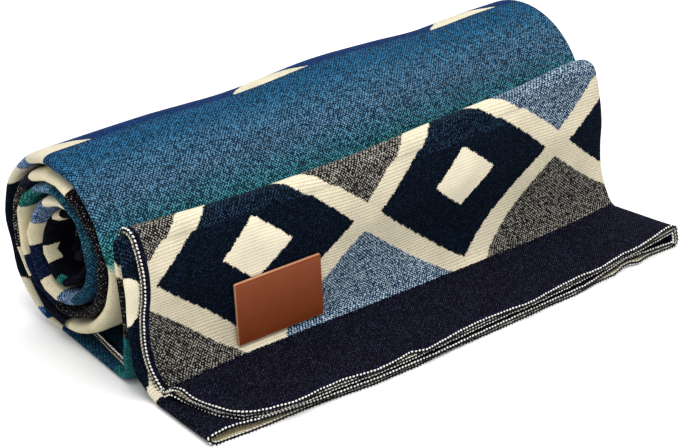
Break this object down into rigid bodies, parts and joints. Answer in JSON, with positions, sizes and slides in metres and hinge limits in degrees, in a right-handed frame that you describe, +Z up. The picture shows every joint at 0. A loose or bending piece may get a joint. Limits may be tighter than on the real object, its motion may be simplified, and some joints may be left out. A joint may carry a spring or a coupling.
{
  "type": "rolled wool blanket",
  "caption": "Knitted wool blanket folded lengthwise into layers and rolled up, its free end laid in front as an S-fold, with a bare leather patch sewn on it.",
  "frame": {"origin": "middle of the object's box on the surface it rests on", "axes": "+Z up, X along the roll's axis with the free edges at the -X end, -Y towards the free end laid in front"},
  "size_m": [0.4478, 0.2494, 0.14],
  "materials": {
    "wool": "jacquard-knitted wool in navy, cream, grey and blue marl and teal, matt with a soft nap",
    "leather": "saddle-brown vegetable-tanned leather, half matt, with a paler cut edge"
  },
  "bodies": {
    "root": {"blanket": "wool", "leather_patch": "leather"}
  },
  "joints": []
}
